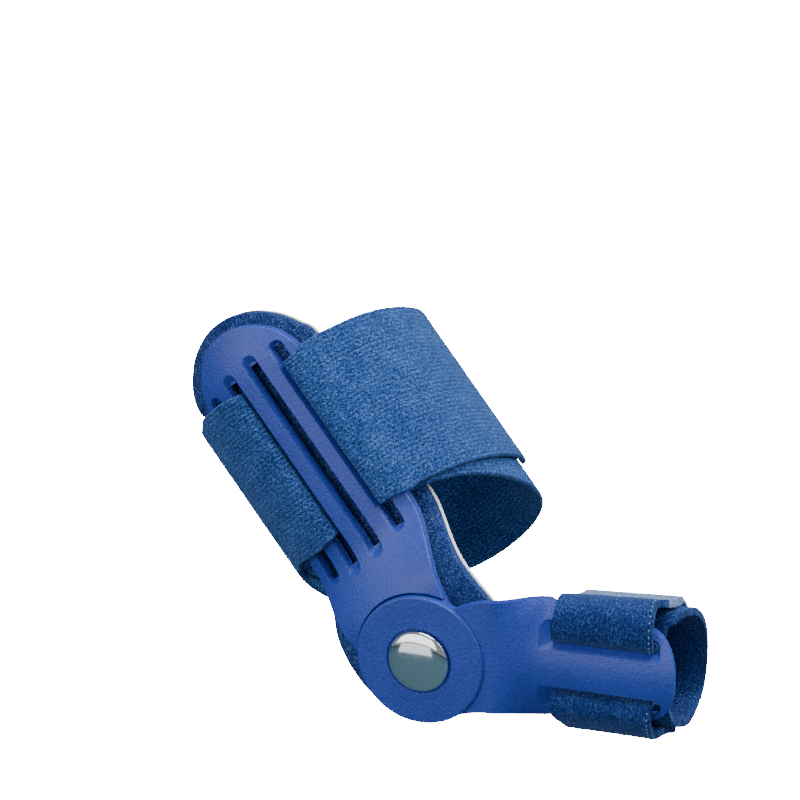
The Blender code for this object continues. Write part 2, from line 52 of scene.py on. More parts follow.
# %% Camera
camera_data = bpy.data.cameras.new("camera")
camera_data.lens = 63.69
camera_data.sensor_width = 36.0
camera = bpy.data.objects.new("camera", camera_data)
bpy.context.collection.objects.link(camera)
camera.matrix_world = Matrix(((0.935, -0.0667, 0.3483, 0.1249), (0.3545, 0.2061, -0.9121, -0.3493),
                              (-0.0109, 0.9762, 0.2164, 0.153), (0.0, 0.0, 0.0, 1.0)))
bpy.context.scene.camera = camera
print("camera at", tuple(round(c, 3) for c in camera.location))

# %% [markdown]
# Every shape follows the same sizes as the frame. Lengths are in millimetres: u runs across
# the plate, v up the plate and w out of the foot. The toe arm has x along it and y across it.

# %% Sizes of the plate, the arm and the bands
GAP = 0.3
PLATE_TURN = 37.0
DISC_R = 18.25
SHOULDER_R = 18.65
LUG_R = 15.0
LUG_IN = 4.3
LUG_OUT = 6.5
DISC_IN = 6.8
DISC_OUT = 10.3
CAP_R = 8.7
CAP_OUT = 12.9
CAP_SEAT = 0.8
SHANK_R = 2.7
TAIL_R = 4.6
TAIL_T = 0.7
PLATE_TOP = 105.6
PLATE_HALF = 19.0
PLATE_OUT = 9.6
PLATE_T = 3.0
PLATE_BEND_R = 34.0
PLATE_DROP = 8.0
TIP_DROP = 2.0
SLOT_MID = 65.0
INNER_SLOT_U = 4.35
OUTER_SLOT_U = 12.9
SLOT_W = 3.0
RECESS_W = 4.5
RECESS_DEPTH = 1.8
SLOT_SKEW = 1.3
SLOTS = tuple((side * place, low + SLOT_SKEW * side * place / OUTER_SLOT_U,
               high + SLOT_SKEW * side * place / OUTER_SLOT_U, end)
              for place, low, high, end in ((OUTER_SLOT_U, 30.5, 94.1, 1.5),
                                            (INNER_SLOT_U, 28.4, 96.2, 3.4)) for side in (-1, 1))
TIP_LENGTH = 14.6
PAD_OUT = 4.0
PAD_FLAT_U = 18.0
PAD_SINK = 0.6
PAD_TIP_RISE = 0.9
COVER_T = 2.5
FOAM_T = 1.2
ARM_TIP = 68.6
ARM_HALF = 16.0
ARM_T = 2.8
ARM_OUT = 9.2
ARM_DROP = 3.5
ARM_BEND_R = 17.0
DISC_STEP = 0.15
ARM_SHIFT = 0.7
ARM_SLOT_LO = 31.6
ARM_SLOT_HI = 64.7
ARM_SLOT_END = 3.3
BAR_HALF = 5.2
RAIL_IN = 10.8
STRAP_T = 2.0
HOOK_T = 1.2
LAYER = STRAP_T + GAP
INSTEP_LO = 39.5
INSTEP_HI = 90.0
OVER_SLANT = (0.27, 0.175)
INNER_SLANT = (0.50, 0.42)
SOLE_SLANT = (0.82, 0.76)
FOOT_HALF = 33.8
FOOT_DEPTH = 77.5
TOE_LO = 35.7
TOE_HI = 62.7
TOE_HALF = 17.9
TOE_DEPTH = 29.8
TOE_RISE = 0.045
print("plate", 2 * PLATE_HALF, "mm wide and", PLATE_TOP, "mm above the rivet")

# %% [markdown]
# The plate isn't flat: it is curved across, drops towards the foot above the hinge and again at
# its tip. Small functions give its level and the arm's, and the pad follows the plate's fall. A
# surface given by a function can be asked for its level anywhere, so what lies on it fits it.

# %% Levels of the plate, the pad and the arm
def smoothstep(value, low, high):
    t = min(max((value - low) / (high - low), 0.0), 1.0)
    return t * t * (3 - 2 * t)


def plate_fall(v):
    return PLATE_DROP * smoothstep(v, 14.0, 36.0)


def plate_outer(u, v):
    sag = u * u / (2 * PLATE_BEND_R) * (0.45 + 0.55 * smoothstep(v, 10.0, 40.0))
    tip_fall = TIP_DROP * smoothstep(v, PLATE_TOP - TIP_LENGTH, PLATE_TOP)
    return PLATE_OUT - sag - plate_fall(v) - tip_fall


def pad_outer(u, v):
    tip = PLATE_TOP - TIP_LENGTH
    sag = u * u / (2 * PLATE_BEND_R)
    if u < -PAD_FLAT_U:
        flat = PAD_FLAT_U ** 2 / (2 * PLATE_BEND_R) - 0.25 * (u + PAD_FLAT_U)
        share = smoothstep(v, tip - 5.0, tip + 2.0)
        sag = sag * (1 - share) + flat * share
    rise = PAD_TIP_RISE * smoothstep(v, tip + 1.0, tip + 8.0)
    return (PAD_OUT - sag * smoothstep(v, 4.0, 36.0) - plate_fall(v)
            - PAD_SINK * smoothstep(v, 14.0, 36.0) + rise)


def arm_centre(x):
    return ARM_SHIFT * smoothstep(x, 2.0, 24.0)


def arm_outer(x, y):
    off = y - arm_centre(x)
    bend = smoothstep(x, 20.0, 36.0) * off * off / (2 * ARM_BEND_R)
    return ARM_OUT - ARM_DROP * smoothstep(x, 19.0, 33.0) - bend


def arm_inner(x, y):
    level = arm_outer(x, y) - ARM_T
    if math.hypot(x, y) < DISC_R + 2.0:
        return max(level, DISC_IN + DISC_STEP)
    return level


print("plate level at the slots' middle:", round(plate_outer(OUTER_SLOT_U, SLOT_MID), 2), "mm")

# %% [markdown]
# Curves come from a few points with a smooth line through them, and circles from arcs. They are
# plain lists of points here, because the same line may be an outline, a path or a profile.

# %% Curves and arcs
def spline(keys, steps, closed=False):
    points = []
    n = len(keys)
    for i in range(n if closed else n - 1):
        if closed:
            p = [keys[(i + k) % n] for k in (-1, 0, 1, 2)]
        else:
            p = [keys[min(max(i + k, 0), n - 1)] for k in (-1, 0, 1, 2)]
        for s in range(steps):
            t = s / steps
            points.append(tuple(
                0.5 * (2 * b + (c - a) * t + (2 * a - 5 * b + 4 * c - d) * t * t
                       + (3 * b - a - 3 * c + d) * t ** 3)
                for a, b, c, d in zip(*p)))
    if not closed:
        points.append(tuple(keys[-1]))
    return points


def arc(centre, radius, start, stop, steps):
    return [(centre[0] + radius * math.cos(math.radians(start + (stop - start) * i / steps)),
             centre[1] + radius * math.sin(math.radians(start + (stop - start) * i / steps)))
            for i in range(steps + 1)]


def evenly(points, step):
    # The same line with its points spaced evenly, so that the cloth's grid is even too.
    lengths = [0.0]
    for p, q in zip(points, points[1:]):
        lengths.append(lengths[-1] + math.dist(p, q))
    count = max(2, round(lengths[-1] / step))
    out = []
    j = 0
    for i in range(count + 1):
        s = lengths[-1] * i / count
        while j < len(points) - 2 and lengths[j + 1] < s:
            j += 1
        span = lengths[j + 1] - lengths[j]
        t = (s - lengths[j]) / span if span else 0.0
        out.append(tuple(a + (b - a) * t for a, b in zip(points[j], points[j + 1])))
    return out


def loop_evenly(points, step):
    return evenly(points + [points[0]], step)[:-1]


def round_corners(points, radius, steps=5):
    # Every corner of a closed outline is replaced by a short curve.
    out = []
    n = len(points)
    for i, p in enumerate(points):
        ends = []
        for q in (points[i - 1], points[(i + 1) % n]):
            share = min(radius / math.dist(p, q), 0.45)
            ends.append(tuple(a + (b - a) * share for a, b in zip(p, q)))
        for k in range(steps + 1):
            t = k / steps
            out.append(tuple((1 - t) ** 2 * a + 2 * t * (1 - t) * b + t * t * c
                             for a, b, c in zip(ends[0], p, ends[1])))
    return out


print("a ring of", len(arc((0, 0), DISC_R, 0, 360, 96)) - 1, "points")

# %% [markdown]
# The plastic pieces are made flat, where edges are easy to cut and to round, and are then
# lifted onto their curved levels. Each starts as a filled circle whose corners are moved to the
# outline, and that is extruded into a block.

# %% Flat blocks
def only(piece):
    if bpy.context.mode != 'OBJECT':
        bpy.ops.object.mode_set(mode='OBJECT')
    bpy.ops.object.select_all(action='DESELECT')
    piece.select_set(True)
    bpy.context.view_layer.objects.active = piece


def block(name, outline, low, high, upper_outline=None):
    bpy.ops.mesh.primitive_circle_add(vertices=len(outline), radius=0.02, fill_type='NGON')
    piece = bpy.context.active_object
    piece.name = name
    piece.data.name = name
    for vert, (x, y) in zip(piece.data.vertices, outline):
        vert.co = (x * MM, y * MM, low * MM)
    bpy.ops.object.mode_set(mode='EDIT')
    bpy.ops.mesh.select_all(action='SELECT')
    bpy.ops.mesh.extrude_region_move(TRANSFORM_OT_translate={"value": (0, 0, (high - low) * MM)})
    bpy.ops.object.mode_set(mode='OBJECT')
    if upper_outline:
        top = [v for v in piece.data.vertices if v.co.z > (low + high) / 2 * MM]
        for vert in top:
            near = min(range(len(outline)),
                       key=lambda i: math.dist(outline[i], (vert.co.x / MM, vert.co.y / MM)))
            vert.co.x = upper_outline[near][0] * MM
            vert.co.y = upper_outline[near][1] * MM
    outward(piece)
    return piece


def outward(piece, weld=True):
    only(piece)
    bpy.ops.object.mode_set(mode='EDIT')
    bpy.ops.mesh.select_all(action='SELECT')
    if weld:
        bpy.ops.mesh.remove_doubles(threshold=1e-6)
    bpy.ops.mesh.normals_make_consistent(inside=False)
    bpy.ops.object.mode_set(mode='OBJECT')


print("a block is made from an outline and two levels")

# %% [markdown]
# A slot or a hole is a block taken out of the piece. A rim is rounded while it still lies in one
# flat face, because it can then be found by its level. Straight slices come last and give the
# flat faces the points that they need to follow a curve.

# %% Cuts, rounded edges and slices
def cut(piece, cutter, operation='DIFFERENCE'):
    only(piece)
    mod = piece.modifiers.new("cut", 'BOOLEAN')
    mod.operation = operation
    mod.solver = 'EXACT'
    mod.object = cutter
    bpy.ops.object.modifier_apply(modifier=mod.name)
    bpy.data.objects.remove(cutter, do_unlink=True)


def round_edges(piece, wanted, width, segments):
    # Bevels the edges for which wanted(a, b, faces) is true, with a and b in millimetres.
    only(piece)
    bpy.ops.object.mode_set(mode='EDIT')
    bpy.ops.mesh.select_mode(type='EDGE')
    bpy.ops.mesh.select_all(action='DESELECT')
    bm = bmesh.from_edit_mesh(piece.data)
    count = 0
    for edge in bm.edges:
        a = edge.verts[0].co / MM
        b = edge.verts[1].co / MM
        if len(edge.link_faces) == 2 and wanted(a, b, edge.link_faces):
            edge.select_set(True)
            count += 1
    bmesh.update_edit_mesh(piece.data)
    bpy.ops.mesh.bevel(offset=width * MM, segments=segments, profile=0.5, clamp_overlap=True,
                       miter_outer='ARC')
    bpy.ops.object.mode_set(mode='OBJECT')
    return count


def slice_up(piece, us, vs):
    only(piece)
    bpy.ops.object.mode_set(mode='EDIT')
    for axis, places in (((1, 0, 0), us), ((0, 1, 0), vs)):
        for place in places:
            bpy.ops.mesh.select_all(action='SELECT')
            co = tuple(place * MM * c for c in axis)
            bpy.ops.mesh.bisect(plane_co=co, plane_no=axis, threshold=1e-7)
    bpy.ops.object.mode_set(mode='OBJECT')


def is_rim(a, b, faces, level):
    # An edge of the flat face at this level whose other face isn't part of that face.
    flat = [abs(f.normal.z) > 0.999 for f in faces]
    return abs(a.z - level) < 1e-3 and abs(b.z - level) < 1e-3 and sum(flat) == 1


print("a piece is cut, rounded and then sliced")

# %% [markdown]
# A flat piece is turned into its place in the world through its mesh, so that the object itself
# stays at the origin, unturned. It is then shaded, gets its material, and rides on its body.

# %% Turn, shade and finish
def to_plate(piece):
    turn = math.radians(PLATE_TURN)
    c, s = math.cos(turn), math.sin(turn)
    piece.data.transform(Matrix(((c, -s, 0, 0), (0, 0, -1, 0), (s, c, 0, 0), (0, 0, 0, 1))))


def to_toe(piece):
    piece.data.transform(Matrix(((1, 0, 0, 0), (0, 0, -1, 0), (0, 1, 0, 0), (0, 0, 0, 1))))


def smooth(piece, angle=35.0, weighted=True):
    only(piece)
    bpy.ops.object.shade_smooth_by_angle(angle=math.radians(angle))
    if weighted:
        mod = piece.modifiers.new("even_shading", 'WEIGHTED_NORMAL')
        mod.keep_sharp = True
        bpy.ops.object.modifier_apply(modifier=mod.name)


def finish_piece(piece, material, body, node):
    piece.data.materials.clear()
    piece.data.materials.append(material)
    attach(piece, body)
    if node:
        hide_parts(node)


print("the plate's pieces turn by", PLATE_TURN, "degrees")

# %% [markdown]
# Every finish is a Principled shader with a few nodes before it. These helpers make one node
# each and join it, so that a material reads as a short list of what it is made of.

# %% Nodes of the materials
def new_material(name, colour, roughness):
    mat = bpy.data.materials.new(name)
    mat.use_nodes = True
    shader = mat.node_tree.nodes["Principled BSDF"]
    shader.inputs["Base Color"].default_value = (*colour, 1.0)
    shader.inputs["Roughness"].default_value = roughness
    mat.diffuse_color = (*colour, 1.0)
    return mat, mat.node_tree, shader


def noise_node(tree, source, scale, detail=2.0, rough=0.5, distortion=0.0):
    node = tree.nodes.new("ShaderNodeTexNoise")
    node.inputs["Scale"].default_value = scale
    node.inputs["Detail"].default_value = detail
    node.inputs["Roughness"].default_value = rough
    node.inputs["Distortion"].default_value = distortion
    tree.links.new(source, node.inputs["Vector"])
    return node.outputs["Fac"]


def ramp_node(tree, source, stops):
    node = tree.nodes.new("ShaderNodeValToRGB")
    ramp = node.color_ramp
    while len(ramp.elements) < len(stops):
        ramp.elements.new(0.5)
    for element, (place, colour) in zip(ramp.elements, stops):
        element.position = place
        element.color = (*colour, 1.0)
    tree.links.new(source, node.inputs["Fac"])
    return node.outputs["Color"]


def feed(tree, socket, value):
    # A number is set on the socket, and another node's output is linked to it.
    if isinstance(value, (int, float)):
        socket.default_value = value
    else:
        tree.links.new(value, socket)


def mix_node(tree, fac, a, b, mode='MIX'):
    node = tree.nodes.new("ShaderNodeMix")
    node.data_type = 'RGBA'
    node.blend_type = mode
    for socket, value in ((node.inputs[0], fac), (node.inputs[6], a), (node.inputs[7], b)):
        feed(tree, socket, value)
    return node.outputs[2]


def math_node(tree, operation, a, b=0.0):
    node = tree.nodes.new("ShaderNodeMath")
    node.operation = operation
    for socket, value in zip(node.inputs, (a, b)):
        feed(tree, socket, value)
    return node.outputs[0]


def bump_node(tree, height, strength, distance):
    node = tree.nodes.new("ShaderNodeBump")
    node.inputs["Strength"].default_value = strength
    node.inputs["Distance"].default_value = distance
    tree.links.new(height, node.inputs["Height"])
    return node.outputs["Normal"]


def object_coordinates(tree):
    return tree.nodes.new("ShaderNodeTexCoord").outputs["Object"]


print("noise, ramp, mix, sum and bump nodes")

# %% [markdown]
# The moulded plastic is a satin blue with a fine pebbled grain. The grain is a bump, because it
# is only a fifth of a millimetre deep, and the colour and the gloss vary a little with it, as on
# the real part.

# %% Plastic
def make_plastic():
    mat, tree, shader = new_material("moulded_blue", (0.030, 0.085, 0.42), 0.42)
    place = object_coordinates(tree)
    grain = noise_node(tree, place, 1500.0, 2.0, 0.6)
    cloud = noise_node(tree, place, 60.0, 3.0, 0.6)
    tone = ramp_node(tree, cloud, ((0.3, (0.020, 0.050, 0.35)), (0.7, (0.026, 0.062, 0.41))))
    fleck = ramp_node(tree, grain, ((0.35, (0.84, 0.84, 0.86)), (0.75, (1.12, 1.12, 1.10))))
    colour = mix_node(tree, 1.0, tone, fleck, 'MULTIPLY')
    tree.links.new(colour, shader.inputs["Base Color"])
    gloss = ramp_node(tree, grain, ((0.3, (0.36, 0.36, 0.36)), (0.8, (0.50, 0.50, 0.50))))
    tree.links.new(gloss, shader.inputs["Roughness"])
    tree.links.new(bump_node(tree, grain, 0.75, 0.00022), shader.inputs["Normal"])
    return mat


plastic = make_plastic()
print("made", plastic.name)

# %% [markdown]
# The splint plate is one moulding: a tongue with four long slots, each in a sloping recess, and
# a round lug that lies under the arm's disc. It is drawn as a filled outline, cut by the slots,
# its rims are rounded so that they catch the light, and then it is sliced and lifted.

# %% Splint plate
half_outline = [(PLATE_HALF * a, PLATE_TOP * b) for a, b in (
    (0.835, 0.11), (0.91, 0.18), (0.965, 0.26), (1.0, 0.36), (1.0, 0.66), (0.975, 0.80),
    (0.935, 0.86), (0.86, 0.90), (0.765, 0.93), (0.585, 0.963), (0.40, 0.986), (0.2, 0.998),
    (0.0, 1.0))]
curve = spline(half_outline, 8)
lug_start = math.degrees(math.atan2(curve[0][1], curve[0][0]))
lug = arc((0.0, 0.0), LUG_R, lug_start - 20, -180 - lug_start + 20, 48)
side = evenly(curve, 1.4)
plate_line = side + [(-x, y) for x, y in reversed(side[:-1])] + list(reversed(lug))
PLATE_BOTTOM = LUG_IN - PLATE_OUT
plate = block("plate", plate_line, PLATE_BOTTOM, 0.0)
print("plate outline of", len(plate_line), "points")


def stadium(half_width, low, high, steps=10):
    upper = arc((0.0, high - half_width), half_width, 0, 180, steps)
    return upper + arc((0.0, low + half_width), half_width, 180, 360, steps)


for centre, low, high, end in SLOTS:
    # The recess slopes from a wide outline on the face to a narrow one at its floor.
    wide = [(centre + x, y) for x, y in stadium(RECESS_W / 2 + 0.25, low - 0.25, high + 0.25)]
    narrow = [(centre + x, y) for x, y in stadium(SLOT_W / 2 - 0.1, low + 0.75 * end,
                                                  high - 0.75 * end)]
    cut(plate, block("recess", narrow, -RECESS_DEPTH, 0.5, wide))
    half = SLOT_W / 2
    opening = [(centre - half, low + end), (centre + half, low + end),
               (centre + half, high - end), (centre - half, high - end)]
    cut(plate, block("opening", round_corners(opening, 0.3, 3), PLATE_BOTTOM - 2, 2.0))
cut(plate, block("shoulder", arc((0, 0), SHOULDER_R, 0, 360, 120)[:-1], LUG_OUT - PLATE_OUT, 3.0))
cut(plate, block("hole", arc((0, 0), SHANK_R + GAP, 0, 360, 32)[:-1], -20.0, 3.0))
cut(plate, block("tail_seat", arc((0, 0), TAIL_R + GAP, 0, 360, 48)[:-1], PLATE_BOTTOM - 2,
                 PLATE_BOTTOM + TAIL_T + GAP))
print("plate cut:", len(plate.data.polygons), "faces")

# %% [markdown]
# Moulded edges are never sharp. The outer rim has the largest radius, the recess rims a small one.

# %% Rounded rims of the plate
def near_slot(a):
    return any(abs(a.x - c) < RECESS_W / 2 + 0.6 and lo - 0.6 < a.y < hi + 0.6
               for c, lo, hi, end in SLOTS)


def outer_rim(a, b, faces):
    return is_rim(a, b, faces, 0.0) and not near_slot(a)


def recess_rim(a, b, faces):
    return is_rim(a, b, faces, 0.0) and near_slot(a)


def under_rim(a, b, faces):
    return is_rim(a, b, faces, PLATE_BOTTOM) and not near_slot(a) and a.y > 14.0


print("outer rim edges:", round_edges(plate, outer_rim, 0.9, 4))
print("recess rim edges:", round_edges(plate, recess_rim, 0.35, 3))
print("under rim edges:", round_edges(plate, under_rim, 0.5, 2))
slice_up(plate, [u * 1.6 for u in range(-11, 12)], [v * 2.2 for v in range(-6, 48)])


def lift_plate(piece):
    # What lies above the shoulder's floor follows the face, and what lies below it the back.
    for vert in piece.data.vertices:
        u, v, z = (c / MM for c in vert.co)
        top = plate_outer(u, v)
        if z > LUG_OUT - PLATE_OUT - 0.05:
            level = top + z
            if math.hypot(u, v) < SHOULDER_R - 0.1:
                level = PLATE_OUT + z
        else:
            thick = smoothstep(v, 10.0, 18.0)
            bottom = LUG_IN * (1 - thick) + (top - PLATE_T) * thick
            level = bottom + (z - PLATE_BOTTOM)
        vert.co.z = level * MM


lift_plate(plate)
to_plate(plate)
smooth(plate)
finish_piece(plate, plastic, "splint", "splint_plate")
print("plate:", len(plate.data.polygons), "faces")

# %% [markdown]
# The toe arm is a second moulding: a disc that turns on the rivet, a neck, and a tongue with a
# strap slot on each side of a bar. The disc stands a little proud, so it is joined to the flat
# arm as a block of its own, and the corner between the two is filled with a small radius.

# %% Toe arm
arm_end = ((0.555, 0.905), (0.70, 0.868), (0.84, 0.835), (0.901, 0.785), (0.939, 0.700),
           (0.968, 0.560), (0.988, 0.385), (0.998, 0.19), (1.0, 0.0))
upper_side = ((0.146, 0.97), (0.182, 1.03), (0.230, 1.09), (0.285, 1.12), (0.35, 1.115),
              (0.41, 1.09), (0.485, 1.045), (0.52, 0.97)) + arm_end
lower_side = ((0.146, 0.95), (0.22, 0.87), (0.29, 0.845), (0.36, 0.875), (0.42, 0.955),
              (0.48, 1.03), (0.52, 0.97)) + arm_end


def arm_edge(side):
    return evenly(spline([(ARM_TIP * a, ARM_HALF * b) for a, b in side], 8), 1.2)


upper = [(x, arm_centre(x) + y) for x, y in arm_edge(upper_side)]
lower = [(x, arm_centre(x) - y) for x, y in arm_edge(lower_side)[:-1]]
start = math.degrees(math.atan2(upper[0][1], upper[0][0]))
stop = math.degrees(math.atan2(lower[0][1], lower[0][0]))
back = arc((0.0, 0.0), DISC_R - 1.5, start + 11, 351 + stop, 60)
ARM_BOTTOM = DISC_IN + DISC_STEP - ARM_OUT
DISC_TOP = DISC_OUT - ARM_OUT
arm = block("arm", lower + list(reversed(upper)) + back, ARM_BOTTOM, 0.0)
disc = block("disc", arc((0, 0), DISC_R, 0, 360, 144)[:-1], DISC_IN - ARM_OUT, DISC_TOP)
cut(arm, disc, 'UNION')
cut(arm, block("cap_seat", arc((0, 0), CAP_R + 0.6, 0, 360, 96)[:-1],
               DISC_OUT - CAP_SEAT - ARM_OUT, 3.0))
cut(arm, block("shank_hole", arc((0, 0), SHANK_R + GAP, 0, 360, 32)[:-1], -20.0, 3.0))
print("arm outline and disc:", len(arm.data.polygons), "faces")

# %% [markdown]
# Each slot lies in a recess that slopes down from the face, and is drawn twice with the same
# number of points: once for the recess's rim and once for its floor. The slot itself is shifted
# towards the tip, by a hair on the upper side, so that no edge lies on another, and by more on
# the lower side, where the band doesn't cover the slot's near end.

# %% Slots of the toe arm
def arm_slot_line(sign, share):
    # The outline of a slot's recess: share 0 is its rim on the face and 1 its opening. The
    # bar's side slopes in only on the upper slot; the strap lies close under it in the lower.
    lo = ARM_SLOT_LO + share * ARM_SLOT_END
    hi = ARM_SLOT_HI - share * 0.8
    bar = BAR_HALF + share * (1.7 if sign > 0 else 0.3)
    rail = RAIL_IN + 1.6 - share * 0.5
    line = [(lo + 0.5, bar), (hi - 1.4, bar), (hi - 0.4, bar + 0.4), (hi, bar + 1.5),
            (hi - 0.5, rail - 2.6), (hi - 1.8, rail - 1.7), (hi - 0.6 * (hi - lo), rail - 0.6),
            (lo + 5.0, rail), (lo + 1.5, rail), (lo + 0.4, rail - 1.2), (lo, rail - 3.5)]
    line = [(x, ARM_SHIFT + sign * y) for x, y in (line if sign > 0 else line[::-1])]
    return round_corners(line, 0.8, 4)


SLOPE = 0.7 * ARM_T
FLOOR_SHARE = 1.15
for sign, shift in ((1, 0.13), (-1, 1.3)):
    cut(arm, block("slot_slope", arm_slot_line(sign, FLOOR_SHARE), -SLOPE, 0.5,
                   arm_slot_line(sign, -0.5 * FLOOR_SHARE / SLOPE)))
    opening = [(x + shift, y) for x, y in arm_slot_line(sign, 1.0)]
    cut(arm, block("slot", opening, -8.0, 0.6))
print("arm with slots:", len(arm.data.polygons), "faces")

# %% [markdown]
# The arm's rims are told apart by where they lie: round the disc, at its foot, round the cap's
# seat, along the arm's own outline, or round a slot. Then the arm is sliced and lifted.

# %% Rounded rims of the toe arm
def disc_rim(a, b, faces):
    return is_rim(a, b, faces, DISC_TOP) and math.hypot(a.x, a.y) > DISC_R - 0.1


def seat_rim(a, b, faces):
    return is_rim(a, b, faces, DISC_TOP) and math.hypot(a.x, a.y) < CAP_R + 0.8


def in_slot(a):
    off = abs(a.y - ARM_SHIFT)
    return ARM_SLOT_LO - 2.0 < a.x < ARM_SLOT_HI + 1.2 and BAR_HALF - 1.6 < off < RAIL_IN + 3.1


def on_edge(a):
    # Close to the arm's own outline, away from the disc.
    return any(math.dist((a.x, a.y), q) < 0.8 for q in upper + lower)


def arm_rim(a, b, faces):
    return is_rim(a, b, faces, 0.0) and on_edge(a) and on_edge(b) and math.hypot(*a.xy) > DISC_R


def slot_rim(a, b, faces):
    return is_rim(a, b, faces, 0.0) and in_slot(a) and in_slot(b) and not on_edge(a)


def disc_foot(a, b, faces):
    return is_rim(a, b, faces, 0.0) and max(abs(math.hypot(*p.xy) - DISC_R) for p in (a, b)) < 0.05


print("disc rim:", round_edges(arm, disc_rim, 0.6, 5))
print("disc foot:", round_edges(arm, disc_foot, 0.45, 4))
print("seat rim:", round_edges(arm, seat_rim, 0.25, 2))
print("arm rim:", round_edges(arm, arm_rim, 0.9, 4))
print("slot rim:", round_edges(arm, slot_rim, 0.3, 3))
slice_up(arm, [18.5 + 1.6 * k for k in range(33)], [y * 1.8 - 18.0 for y in range(22)])


def lift_arm(piece):
    # The disc stays level, and the arm beyond it drops and bends round the toe.
    for vert in piece.data.vertices:
        x, y, z = (c / MM for c in vert.co)
        if z < ARM_BOTTOM + 0.02 and z > DISC_IN - ARM_OUT + 0.05:
            vert.co.z = arm_inner(x, y) * MM
        elif math.hypot(x, y) < DISC_R + 0.02:
            vert.co.z = (ARM_OUT + z) * MM
        else:
            vert.co.z = (arm_outer(x, y) + z) * MM


lift_arm(arm)
to_toe(arm)
smooth(arm)
finish_piece(arm, plastic, "toe", "toe_arm")
print("arm:", len(arm.data.polygons), "faces")

# %% [markdown]
# The rivet's cap is a polished steel dome. A mirror finish is a metallic shader with a low
# roughness, and a faint haze softens its reflections here and there.

# %% Polished steel
def make_chrome():
    mat, tree, shader = new_material("polished_steel", (0.80, 0.82, 0.84), 0.10)
    shader.inputs["Metallic"].default_value = 1.0
    place = object_coordinates(tree)
    haze = noise_node(tree, place, 900.0, 3.0, 0.6)
    gloss = ramp_node(tree, haze, ((0.3, (0.07, 0.07, 0.07)), (0.8, (0.16, 0.16, 0.16))))
    tree.links.new(gloss, shader.inputs["Roughness"])
    return mat


steel = make_chrome()
print("made", steel.name)

# %% [markdown]
# The rivet's profile is spun round the hinge axis, from the tail under the plate's lug, up the
# shank, to the crown. A spun profile keeps the cap's edge crisp where it sinks into its seat.

# %% Rivet
def lathe(name, profile, turns=128):
    # The profile, as radius and height, is drawn with a circle's corners and spun once round.
    bpy.ops.mesh.primitive_circle_add(vertices=len(profile), radius=0.01, fill_type='NOTHING')
    piece = bpy.context.active_object
    piece.name = name
    piece.data.name = name
    for vert, (r, h) in zip(piece.data.vertices, profile):
        vert.co = (r * MM, 0.0, h * MM)
    bpy.ops.object.mode_set(mode='EDIT')
    bm = bmesh.from_edit_mesh(piece.data)
    ends = {0, len(profile) - 1}
    for edge in [e for e in bm.edges if {v.index for v in e.verts} == ends]:
        bm.edges.remove(edge)
    bmesh.update_edit_mesh(piece.data)
    bpy.ops.mesh.select_all(action='SELECT')
    bpy.ops.mesh.spin(steps=turns, angle=2 * math.pi, center=(0, 0, 0), axis=(0, 0, 1))
    outward(piece)
    return piece


under = DISC_OUT - CAP_SEAT + GAP
rim = under + 0.9
dome = [(CAP_R * math.cos(math.radians(a)), rim + (CAP_OUT - rim) * math.sin(math.radians(a)))
        for a in range(0, 90, 5)]
rivet_profile = [(0.0, LUG_IN), (TAIL_R - 0.4, LUG_IN), (TAIL_R, LUG_IN + 0.3),
                 (TAIL_R, LUG_IN + TAIL_T), (SHANK_R, LUG_IN + TAIL_T), (SHANK_R, under),
                 (CAP_R - 0.3, under), (CAP_R, under + 0.3)] + dome + [(0.0, CAP_OUT)]
cap = lathe("rivet_cap", rivet_profile)
to_plate(cap)
smooth(cap, 40.0, False)
finish_piece(cap, steel, "splint", "rivet")
print("cap", 2 * CAP_R, "mm across")

# %% [markdown]
# The bands and the pad's cover are brushed loop fabric. Its pile is far finer than a mesh can
# carry, so it is a material: noise of several sizes is summed into a height, and the height gives
# both the colour, from dark hollows to pale tips, and the bump.

# %% Fabric
ROW_PITCH = 0.0013
ROW_WOBBLE = 0.0006


